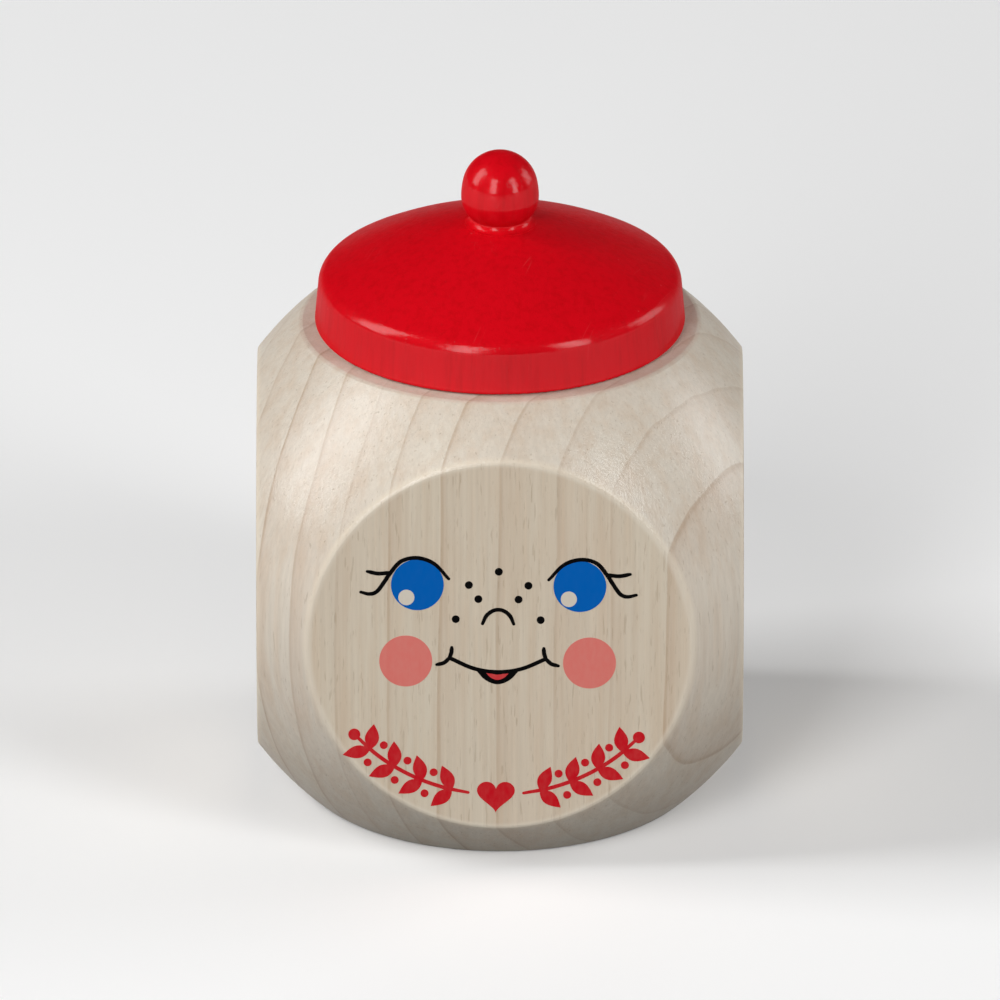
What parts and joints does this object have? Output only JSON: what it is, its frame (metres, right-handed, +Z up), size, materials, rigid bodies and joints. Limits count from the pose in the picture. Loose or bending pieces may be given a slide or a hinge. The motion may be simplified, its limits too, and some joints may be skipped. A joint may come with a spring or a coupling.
{
  "type": "tooth box",
  "caption": "Small turned wooden keepsake box with milled flats, a red screw lid with a round knob, and a printed doll's face on one side.",
  "frame": {"origin": "centre of the flat base", "axes": "+Z up along the turning axis, -Y towards the side with the face"},
  "size_m": [0.045, 0.045, 0.0626],
  "materials": {
    "body_wood": "sanded pale hardwood with a thin clear lacquer",
    "lid_lacquer": "glossy red lacquer on wood",
    "dowel_wood": "bare wood"
  },
  "bodies": {
    "box": {"body": "body_wood"},
    "lift_core": {"knob_dowel": "dowel_wood"},
    "cap": {"lid": "lid_lacquer", "knob": "lid_lacquer"}
  },
  "joints": [
    {"name": "lid_lift", "type": "slide", "parent": "box", "child": "lift_core", "axis": [0, 0, 1], "range_m": [0, 0.009]},
    {"name": "lid_turn", "type": "hinge", "parent": "lift_core", "child": "cap", "pos_m": [0, 0, 0.0456], "axis": [0, 0, 1], "range_deg": [0, 1080]}
  ],
  "couplings": [
    {"joint": "lid_lift", "follows": "lid_turn", "m_per_rad": 0.00047746}
  ]
}
